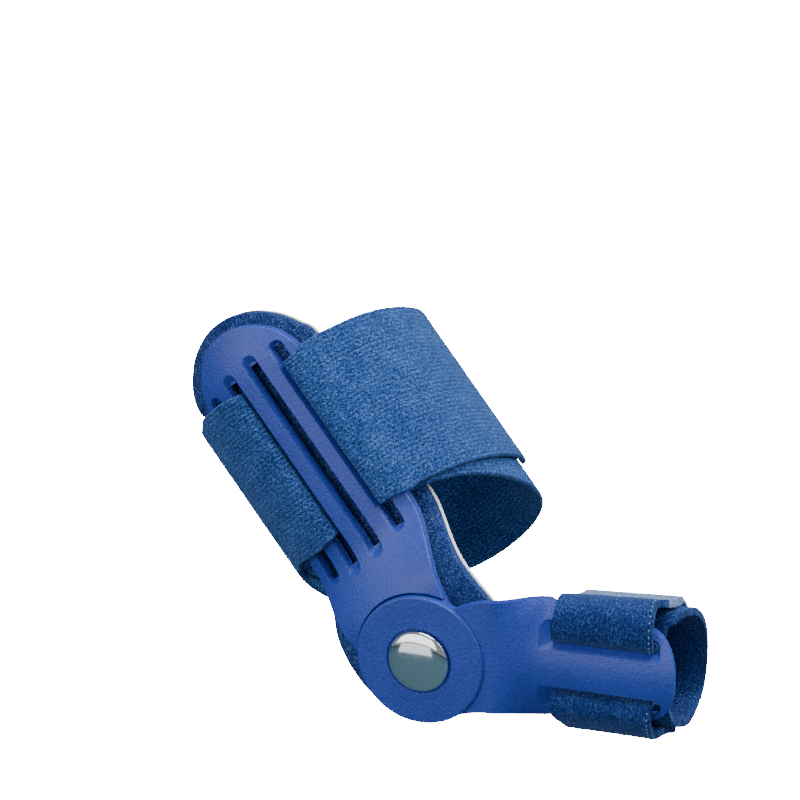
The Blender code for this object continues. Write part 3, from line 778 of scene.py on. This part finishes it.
def make_fabric(name, deep, mid, pale, turn=0.0, rows=0.10, tape_end=0.0):
    # Streaks, pile, fine specks, patches and faint rows along the band. The UV map is in metres.
    mat, tree, shader = new_material(name, mid, 0.95)
    uv = tree.nodes.new("ShaderNodeUVMap")
    uv.uv_map = "cloth"
    place = object_coordinates(tree)
    lay = tree.nodes.new("ShaderNodeMapping")
    lay.inputs["Rotation"].default_value = (0.0, 0.0, math.radians(turn))
    lay.inputs["Scale"].default_value = (0.65, 1.0, 1.0)
    tree.links.new(uv.outputs["UV"], lay.inputs["Vector"])
    streak = noise_node(tree, lay.outputs["Vector"], 1900.0, 2.0, 0.6, 0.3)
    pile = noise_node(tree, place, 1800.0, 2.0, 0.7, 0.2)
    fine = noise_node(tree, place, 3200.0, 1.0, 0.5)
    patch = noise_node(tree, place, 160.0, 3.0, 0.6)
    split = tree.nodes.new("ShaderNodeSeparateXYZ")
    tree.links.new(uv.outputs["UV"], split.inputs[0])
    wobble = math_node(tree, 'MULTIPLY', noise_node(tree, place, 500.0, 2.0), ROW_WOBBLE)
    row = math_node(tree, 'ADD', split.outputs[1], wobble)
    row = math_node(tree, 'SINE', math_node(tree, 'MULTIPLY', row, 2 * math.pi / ROW_PITCH))
    height = math_node(tree, 'MULTIPLY', streak, 0.9)
    for layer, weight in ((pile, 0.9), (fine, 0.35), (patch, 0.25), (row, rows), (1.0, -0.70)):
        height = math_node(tree, 'ADD', height, math_node(tree, 'MULTIPLY', layer, weight))
    tone = ramp_node(tree, height, ((0.28, deep), (0.52, mid), (0.88, pale)))
    if tape_end:
        # The band's first stretch has no pile and shows its pale woven ground.
        bare = math_node(tree, 'LESS_THAN', split.outputs[0], tape_end)
        mesh_tone = ramp_node(tree, pile, ((0.35, (0.06, 0.12, 0.27)), (0.65, (0.30, 0.42, 0.60))))
        tone = mix_node(tree, bare, tone, mesh_tone)
    tree.links.new(tone, shader.inputs["Base Color"])
    shader.inputs["Sheen Weight"].default_value = 0.25
    shader.inputs["Sheen Roughness"].default_value = 0.5
    shader.inputs["Sheen Tint"].default_value = (0.30, 0.50, 0.85, 1.0)
    shader.inputs["Specular IOR Level"].default_value = 0.10
    tree.links.new(bump_node(tree, height, 0.7, 0.0006), shader.inputs["Normal"])
    return mat


instep_fabric = make_fabric("instep_loop_fabric", (0.005, 0.019, 0.09), (0.022, 0.072, 0.27),
                            (0.120, 0.27, 0.60), 0.0, 0.05)
toe_fabric = make_fabric("toe_loop_fabric", (0.003, 0.011, 0.065), (0.011, 0.033, 0.17),
                         (0.060, 0.14, 0.40), 25.0, 0.02, 0.008)
pad_fabric = make_fabric("pad_loop_fabric", (0.003, 0.008, 0.055), (0.018, 0.046, 0.20),
                         (0.22, 0.36, 0.72), 0.0, 0.0)
print("three fabrics")

# %% [markdown]
# A band could be a curve with a flat profile, but its edges run at a slant where it wraps the
# foot. So it is a grid: one direction follows the strap's path and the other its width, and a
# function puts each point in its place. The grid is thickened, its rims are rounded, and the
# pile makes its surface a little uneven.

# %% Cloth bands
PILE_UNEVEN = 0.06
PILE_SCALE = 900.0


def cloth_band(name, path, low, high, thick, place_point, step, rows, material, frame_to_world):
    line = evenly(path, step)
    bpy.ops.mesh.primitive_grid_add(x_subdivisions=len(line) - 1, y_subdivisions=rows, size=0.1)
    piece = bpy.context.active_object
    piece.name = name
    piece.data.name = name
    lengths = [0.0]
    for p, q in zip(line, line[1:]):
        lengths.append(lengths[-1] + math.dist(p[:2], q[:2]))
    n = len(line)
    across = [low + (high - low) * j / rows for j in range(rows + 1)]
    uv = piece.data.uv_layers[0]
    uv.name = "cloth"
    for vert in piece.data.vertices:
        i, j = vert.index % n, vert.index // n
        vert.co = tuple(c * MM for c in place_point(line[i], across[j]))
    for loop in piece.data.loops:
        i, j = loop.vertex_index % n, loop.vertex_index // n
        uv.data[loop.index].uv = (lengths[i] * MM, across[j] * MM)
    only(piece)
    mod = piece.modifiers.new("thickness", 'SOLIDIFY')
    mod.thickness = thick * MM
    mod.offset = 0.0
    mod.use_even_offset = True
    bpy.ops.object.modifier_apply(modifier=mod.name)
    frame_to_world(piece)
    outward(piece, weld=False)
    mod = piece.modifiers.new("soft_rim", 'BEVEL')
    mod.width = 0.36 * thick * MM
    mod.segments = 3
    mod.limit_method = 'ANGLE'
    mod.angle_limit = math.radians(50)
    bpy.ops.object.modifier_apply(modifier=mod.name)
    shaggy = PILE_UNEVEN * thick * MM
    normals = [vert.normal.copy() for vert in piece.data.vertices]
    for vert, normal in zip(piece.data.vertices, normals):
        vert.co += normal * (shaggy * noise.noise(vert.co * PILE_SCALE))
    bpy.ops.object.shade_smooth()
    piece.data.materials.clear()
    piece.data.materials.append(material)
    return piece, lengths[-1]


print("a band's pile stands", PILE_UNEVEN * STRAP_T, "mm uneven")

# %% [markdown]
# The instep band goes round the midfoot twice: the inner layer starts and ends in the slots, and
# the free ends fold back over the rails and press onto it with hook tape.

# %% Path of the instep band
def offset_line(keys, distance):
    out = []
    n = len(keys)
    for i, (a, w) in enumerate(keys):
        p = keys[max(i - 1, 0)]
        q = keys[min(i + 1, n - 1)]
        length = math.dist(p, q)
        out.append((a - (q[1] - p[1]) / length * distance, w + (q[0] - p[0]) / length * distance))
    return out


def instep_keys():
    rail = OUTER_SLOT_U + SLOT_W / 2
    mid = (INSTEP_LO + INSTEP_HI) / 2
    turn = STRAP_T / 2 + GAP + 0.2
    half = PLATE_HALF
    reach = 0.9 * half
    edge = 1.08 * half
    past = 1.2 * half

    def plate_in(u):
        return plate_outer(u, mid) - PLATE_T

    def between(u):
        return (plate_in(u) + pad_outer(u, mid)) / 2

    girth = [(FOOT_HALF * a, -FOOT_DEPTH * b) for a, b in (
        (0.728, 0.1445), (0.876, 0.2168), (0.970, 0.329), (1.0, 0.484), (0.941, 0.6645),
        (0.769, 0.826), (0.473, 0.942), (0.089, 1.0), (-0.311, 0.987), (-0.6065, 0.897),
        (-0.799, 0.748), (-0.876, 0.555), (-0.885, 0.374), (-0.840, 0.239), (-0.740, 0.142))]
    fold = (arc((rail, plate_outer(rail, mid)), turn, 80, 180, 3)
            + arc((rail, plate_in(rail)), turn, 180, 262, 3))
    under = [(u, between(u)) for u in (reach + 0.1, edge)]
    over = [(past, plate_outer(past, mid) - 0.1 * STRAP_T),
            (edge, plate_outer(edge, mid) + 0.75 * STRAP_T),
            (reach, plate_outer(reach, mid) + 0.85 * STRAP_T)]
    outer = offset_line(girth, LAYER)
    dorsal = outer[:8][::-1]
    u0 = -(INNER_SLOT_U + SLOT_W / 2)
    inward = [(-u, between(u)) for u in (edge, reach, 0.68 * half, 0.48 * half)]
    sole_fold = (arc((u0, plate_in(u0)), turn, 278, 360, 3)
                 + arc((u0, plate_outer(u0, mid)), turn, 0, 100, 3))
    outward_keys = [(-u, plate_outer(u, mid) + 0.875 * STRAP_T)
                    for u in (0.5 * half, 0.71 * half, reach)]
    outward_keys += [(-edge, plate_outer(edge, mid) + 0.7 * STRAP_T),
                     (-past, plate_outer(past, mid) - 0.3 * STRAP_T)]
    sole = outer[-7:][::-1]
    keys = dorsal + over + fold + under + girth + inward + sole_fold + outward_keys + sole
    return keys, len(dorsal + over + fold), len(girth)


instep_line, n_fold, n_girth = instep_keys()
STEPS = 6
instep_path = spline(instep_line, STEPS)
TAPE = 2 * STEPS
inner_from = n_fold * STEPS
inner_to = (n_fold + 2 + n_girth + 4) * STEPS
print("instep path of", len(instep_path), "points")

# %% [markdown]
# The band doesn't wrap the foot squarely: the deeper it goes, the further down the foot it lies,
# and each layer has its own slant. The lower and the upper edge slant a little differently,
# because the foot narrows. The band's edges are also drawn in where it folds over a rail.

# %% Instep band
SLANT_FROM = 6.0
SOLE_BEND = 16.0
FOLD_PINCH = 1.2
FOLDS_U = (OUTER_SLOT_U + SLOT_W / 2, -INNER_SLOT_U)
plate_w = plate_outer(OUTER_SLOT_U, SLOT_MID)


def instep_slant(i):
    if i < inner_from:
        return OVER_SLANT
    return INNER_SLANT if i < inner_to else SOLE_SLANT


def instep_depth(i, w):
    depth = max(plate_w - SLANT_FROM - w, 0.0)
    if i >= inner_to:
        depth = min(depth, SOLE_BEND) + 0.35 * max(depth - SOLE_BEND, 0.0)
    return depth


# Each point carries its two slants, at the lower and at the upper edge of the band.
instep_full = [(u, w, *(slant * instep_depth(i, w) for slant in instep_slant(i)))
               for i, (u, w) in enumerate(instep_path)]


def instep_place(point, across):
    u, w, low, high = point
    share = (across - INSTEP_LO) / (INSTEP_HI - INSTEP_LO)
    fold = min(math.hypot(u - rail_u, w - plate_w) for rail_u in FOLDS_U)
    pinch = FOLD_PINCH * (1.0 - smoothstep(fold, 1.0, 7.0)) * (2 * share - 1) ** 5
    return (u, across - low - (high - low) * share - pinch, w)


instep, instep_length = cloth_band(
    "instep_band", instep_full[TAPE + 2:len(instep_full) - TAPE - 2], INSTEP_LO, INSTEP_HI,
    STRAP_T, instep_place, 0.9, 44, instep_fabric, to_plate)
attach(instep, "splint")
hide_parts("instep_strap")
print("instep band:", round(instep_length), "mm long,", len(instep.data.polygons), "faces")

# %% [markdown]
# The band's two free ends are strips of hook tape. They continue the band's own path, so they are
# cloth bands too, a little narrower and thinner, with small hooks made by a Voronoi pattern.

# %% Hook tapes of the instep band
def make_hook():
    mat, tree, shader = new_material("hook_tape", (0.32, 0.45, 0.62), 0.45)
    place = object_coordinates(tree)
    dots = tree.nodes.new("ShaderNodeTexVoronoi")
    dots.inputs["Scale"].default_value = 1300.0
    tree.links.new(place, dots.inputs["Vector"])
    tone = ramp_node(tree, dots.outputs["Distance"], ((0.1, (0.42, 0.56, 0.74)),
                                                      (0.7, (0.10, 0.20, 0.40))))
    tree.links.new(tone, shader.inputs["Base Color"])
    tree.links.new(bump_node(tree, dots.outputs["Distance"], 0.6, 0.0004), shader.inputs["Normal"])
    return mat


hook_tape = make_hook()
n_path = len(instep_full)
for name, part, node in (("instep_hook_dorsal", instep_full[:TAPE - 1], "instep_hook_top"),
                         ("instep_hook_plantar", instep_full[n_path - TAPE + 1:],
                          "instep_hook_sole")):
    tape, tape_length = cloth_band(name, part, INSTEP_LO + 2, INSTEP_HI - 2, HOOK_T,
                                   instep_place, 1.1, 30, hook_tape, to_plate)
    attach(tape, "splint")
    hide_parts(node)
    print(name, round(tape_length, 1), "mm long")

# %% [markdown]
# The toe band is narrower and wraps the toe in the same way, through the slots beside the bar.
# Its path is given in the arm's own frame, as y across the arm and w out of the foot.

# %% Path of the toe band
def toe_keys():
    h = arm_outer((TOE_LO + TOE_HI) / 2, ARM_SHIFT)
    t = STRAP_T
    side = 0.86 * ARM_HALF
    girth = [(TOE_HALF * a, h - TOE_DEPTH * b) for a, b in (
        (0.704, 0.346), (0.793, 0.450), (0.760, 0.631), (0.592, 0.819), (0.268, 0.960),
        (-0.168, 1.0), (-0.581, 0.940), (-0.877, 0.779), (-1.0, 0.570), (-0.944, 0.403),
        (-0.726, 0.336))]
    fold = [(side + 2.2 * t, h - 3.6 * t), (side + 1.9 * t, h - 2.0 * t),
            (side + 1.05 * t, h - 0.8 * t), (RAIL_IN + 1.2 * t, h - 0.3 * t),
            (RAIL_IN - 0.5 * t, h - 0.5 * t), (RAIL_IN - 1.45 * t, h - 1.5 * t),
            (RAIL_IN - 1.6 * t, h - 3.0 * t), (RAIL_IN - 1.6 * t, h - 4.2 * t)]
    low_fold = [(-RAIL_IN + 0.5 * t, h - 4.6 * t), (-RAIL_IN + 1.45 * t, h - 3.7 * t),
                (-RAIL_IN + 1.75 * t, h - 2.3 * t), (-RAIL_IN + 1.3 * t, h - 0.95 * t),
                (-RAIL_IN, h - 0.4 * t), (-side - 0.45 * t, h - 1.35 * t),
                (-side - 2.2 * t, h - 3.5 * t)]
    outer = offset_line(girth, LAYER)
    upper_end = outer[1:5][::-1]
    lower_end = outer[6:-1][::-1]
    return (upper_end + fold + girth + low_fold + lower_end, len(upper_end) + len(fold),
            len(girth), h)


toe_line, toe_fold, toe_girth, toe_level = toe_keys()
STEPS_TOE = 8
toe_path = [(y + ARM_SHIFT, w) for y, w in spline(toe_line, STEPS_TOE)]
TAPE_TOE = 2 * STEPS_TOE
print("toe path of", len(toe_path), "points")

# %% [markdown]
# The toe band slants towards the toe's tip the deeper it goes, but not inside the slots, which it
# passes squarely. It also rises a little towards the tip, and its corners near the hinge are cut
# back.

# %% Toe band
TOE_INNER_SLANT = 0.62
TOE_OUTER_SLANT = 0.38
TOE_SLANT_FROM = 4.0
TOE_SLANT_BEND = 12.0
UPPER_CORNER = 0.8
LOWER_CORNER = 3.0


def toe_slant(i, w):
    depth = max(toe_level - TOE_SLANT_FROM - w, 0.0) * smoothstep(toe_level - w, 5.0, 10.0)
    depth = min(depth, TOE_SLANT_BEND) + 0.3 * max(depth - TOE_SLANT_BEND, 0.0)
    inner = toe_fold * STEPS_TOE <= i <= (toe_fold + toe_girth) * STEPS_TOE
    return (TOE_INNER_SLANT if inner else TOE_OUTER_SLANT) * depth


toe_full = [(y, w, toe_slant(i, w)) for i, (y, w) in enumerate(toe_path)]


def toe_place(point, across):
    y, w, slant = point
    rise = TOE_RISE * (across - TOE_LO) * smoothstep(abs(y - ARM_SHIFT), 11.0, 17.0)
    if y < 0:
        rise *= smoothstep(toe_level - w, 5.0, 11.0)
    share = (across - TOE_LO) / (TOE_HI - TOE_LO)
    corner = smoothstep(abs(y - ARM_SHIFT), 12.0, 17.0) * (1.0 - share) ** 4
    corner *= LOWER_CORNER if y < 0 else UPPER_CORNER
    return (across + slant + corner, y + rise, w)


toe_band, toe_length = cloth_band(
    "toe_band", toe_full[TAPE_TOE + 2:len(toe_full) - TAPE_TOE - 2], TOE_LO, TOE_HI,
    STRAP_T, toe_place, 0.7, 36, toe_fabric, to_toe)
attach(toe_band, "toe")
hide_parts("toe_strap")
n_toe = len(toe_full)
for name, part, node in (("toe_hook_dorsal", toe_full[:TAPE_TOE - 1], "toe_hook_top"),
                         ("toe_hook_plantar", toe_full[n_toe - TAPE_TOE + 1:], "toe_hook_sole")):
    tape, tape_length = cloth_band(name, part, TOE_LO + 1, TOE_HI - 1, HOOK_T, toe_place,
                                   0.8, 24, hook_tape, to_toe)
    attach(tape, "toe")
    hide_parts(node)
print("toe band:", round(toe_length), "mm long,", len(toe_band.data.polygons), "faces")

# %% [markdown]
# A seam runs along the toe band's edge near the tip. One stitch is a small stretched bead; it is
# modelled once, and copied along the path with its own mesh each time, turned with the path.

# %% Stitches
STITCH_PITCH = 1.3
STITCH_THICK = 0.20
STITCH_LONG = 0.42


def stitches(name, path, across, side, material):
    bpy.ops.mesh.primitive_uv_sphere_add(segments=8, ring_count=5, radius=1.0)
    bead = bpy.context.active_object
    bead.name = name
    bead.data.name = name
    bpy.ops.transform.resize(value=(STITCH_THICK * MM, STITCH_LONG * MM, STITCH_THICK * MM))
    bpy.ops.object.transform_apply(location=False, rotation=False, scale=True)
    line = evenly(path, STITCH_PITCH)
    copies = []
    for before, here, after in zip(line, line[1:], line[2:]):
        dy, dw = after[0] - before[0], after[1] - before[1]
        length = math.hypot(dy, dw)
        x, y, w = toe_place(here, across)
        out = side * (STRAP_T / 2 + 0.05) / length
        copy = bpy.data.objects.new(name, bead.data.copy())
        bpy.context.collection.objects.link(copy)
        copy.data.transform(Matrix.Translation((x * MM, (y - dw * out) * MM, (w + dy * out) * MM))
                            @ Matrix.Rotation(math.atan2(dw, dy), 4, 'X'))
        copies.append(copy)
    bpy.data.objects.remove(bead)
    only(copies[0])
    for copy in copies:
        copy.select_set(True)
    bpy.ops.object.join()
    row = bpy.context.active_object
    to_toe(row)
    smooth(row, 60.0, False)
    finish_piece(row, material, "toe", None)
    return len(copies)


thread = new_material("stitching", (0.16, 0.27, 0.50), 0.6)[0]
upper_seam = toe_full[TAPE_TOE + 6:toe_fold * STEPS_TOE - 20]
lower_seam = toe_full[(toe_fold + toe_girth + 3) * STEPS_TOE:len(toe_full) - TAPE_TOE - 8]
for name, part in (("toe_seam_1", upper_seam), ("toe_seam_2", lower_seam)):
    print(name, "of", stitches(name, part, TOE_HI - 0.9, -1, thread), "stitches")

# %% [markdown]
# The pad is a sandwich: loop fabric outside and white foam on the skin side. It is thin and shows
# no puff, so both are flat blocks laid on the plate's curve and not inflated cushions. It is a
# little wider than the plate, so its fabric and the white line of foam show round it.

# %% Pad
pad_keys = [(PLATE_HALF * a, PLATE_TOP * b) for a, b in (
    (0.02, 1.035), (0.29, 1.028), (0.54, 1.008), (0.73, 0.980), (0.87, 0.950), (0.98, 0.912),
    (1.08, 0.852), (1.11, 0.60), (1.105, 0.40), (1.12, 0.25), (1.20, 0.13), (1.285, 0.02),
    (1.20, -0.07), (0.95, -0.135), (0.50, -0.16), (0.0, -0.165), (-0.52, -0.155),
    (-0.96, -0.10), (-1.16, -0.02), (-1.21, 0.06), (-1.20, 0.15), (-1.14, 0.26),
    (-1.17, 0.38), (-1.19, 0.60), (-1.18, 0.80), (-1.32, 0.857), (-1.33, 0.892),
    (-1.21, 0.932), (-1.07, 0.962), (-0.87, 0.990), (-0.63, 1.011), (-0.27, 1.031))]
pad_line = loop_evenly(spline(pad_keys, 8, closed=True), 1.0)[::-1]


def pad_layer(name, top, thick, rim, material, node):
    piece = block(name, pad_line, -thick, 0.0)
    round_edges(piece, lambda a, b, faces: is_rim(a, b, faces, 0.0), rim, 3)
    slice_up(piece, [u * 1.6 for u in range(-16, 17)], [v * 2.0 for v in range(-10, 57)])
    for vert in piece.data.vertices:
        u, v, z = (c / MM for c in vert.co)
        vert.co.z = (pad_outer(u, v) - top + z) * MM
    to_plate(piece)
    smooth(piece, 40.0, False)
    finish_piece(piece, material, "splint", node)
    return piece


foam_white, foam_tree, foam_shader = new_material("white_foam", (0.95, 0.95, 0.94), 0.9)
cells = noise_node(foam_tree, object_coordinates(foam_tree), 2200.0, 2.0)
foam_tree.links.new(bump_node(foam_tree, cells, 0.4, 0.0003), foam_shader.inputs["Normal"])
pad = pad_layer("pad_top", 0.0, COVER_T, 0.6, pad_fabric, "pad_cover")
pad_layer("pad_core", COVER_T + 2 * GAP, FOAM_T, 0.2, foam_white, "pad_foam")
print("pad:", len(pad.data.polygons), "faces")

# %% [markdown]
# The floor is plain and pale. The splint is worn, so it hangs in the air, and the floor lies
# below the lowest point that the toe arm reaches when it swings down. The splint itself sees
# a dim floor, so the floor is pale for the camera's rays and a dim slate for reflected ones; the
# blue stays deep and the steel cap shows a dark lower half under a bright softbox.

# %% Floor
FLOOR_LEVEL = -90.0
PAPER_WHITE = 40.0


def by_camera(tree, hidden, seen, output):
    # The camera's own rays see one shader, and reflected and lighting rays the other.
    direct = tree.nodes.new("ShaderNodeLightPath").outputs["Is Camera Ray"]
    choose = tree.nodes.new("ShaderNodeMixShader")
    for k, source in enumerate((direct, hidden.outputs[0], seen.outputs[0])):
        tree.links.new(source, choose.inputs[k])
    tree.links.new(choose.outputs[0], tree.nodes[output].inputs["Surface"])


bpy.ops.mesh.primitive_plane_add(size=6.0, location=(0.0, 0.0, FLOOR_LEVEL * MM))
floor = bpy.context.active_object
floor.name = "floor"
floor_mat, floor_tree, floor_shader = new_material("pale_floor", (0.93, 0.93, 0.93), 0.8)
floor_shader.inputs["Specular IOR Level"].default_value = 0.0
floor_shader.inputs["Emission Color"].default_value = (1.0, 1.0, 1.0, 1.0)
floor_shader.inputs["Emission Strength"].default_value = PAPER_WHITE
slate = floor_tree.nodes.new("ShaderNodeBsdfDiffuse")
slate.inputs["Color"].default_value = (0.06, 0.11, 0.14, 1.0)
by_camera(floor_tree, slate, floor_shader, "Material Output")
floor.data.materials.append(floor_mat)
print("floor at", FLOOR_LEVEL, "mm")

# %% [markdown]
# The main light is a wide softbox overhead, so faces that look up are paler than faces that look
# at the camera. A wide, low softbox at the left front gives the cap its bright crown, and one
# behind at the right lightens the far side of the instep band. A small card low at the front is
# there for the cap alone, and carries its bright crown down towards the middle.

# %% Light
def soft_light(name, place, target, size, power):
    data = bpy.data.lights.new(name, 'AREA')
    data.shape = 'RECTANGLE'
    data.size, data.size_y = size
    data.energy = power
    lamp = bpy.data.objects.new(name, data)
    bpy.context.collection.objects.link(lamp)
    lamp.location = place
    aim = Vector(target) - Vector(place)
    lamp.rotation_euler = aim.to_track_quat('-Z', 'Y').to_euler()


middle = (0.0, 0.02, 0.04)
soft_light("overhead", (0.15, -0.05, 0.85), middle, (0.6, 0.6), 7.0)
soft_light("left_front", (-0.30, -0.80, 0.36), middle, (1.4, 0.60), 6.5)
soft_light("right_back", (0.65, 0.20, 0.45), middle, (0.4, 0.4), 5.5)
soft_light("low_card", (-0.12, -0.34, -0.030), (0.0, -0.013, 0.0), (0.27, 0.085), 0.09)
print("three softboxes and a card")

# %% [markdown]
# The sky is split as the floor is: the camera sees white paper behind the splint, and the splint
# is lit by a dim, cool sky that only softens the shadows.

# %% Sky
world = bpy.data.worlds.new("studio")
world.use_nodes = True
sky = world.node_tree.nodes["Background"]
sky.inputs["Color"].default_value = (0.92, 0.96, 1.0, 1.0)
sky.inputs["Strength"].default_value = 0.30
paper = world.node_tree.nodes.new("ShaderNodeBackground")
paper.inputs["Strength"].default_value = PAPER_WHITE
by_camera(world.node_tree, sky, paper, "World Output")
bpy.context.scene.world = world
print("sky strength", sky.inputs["Strength"].default_value)
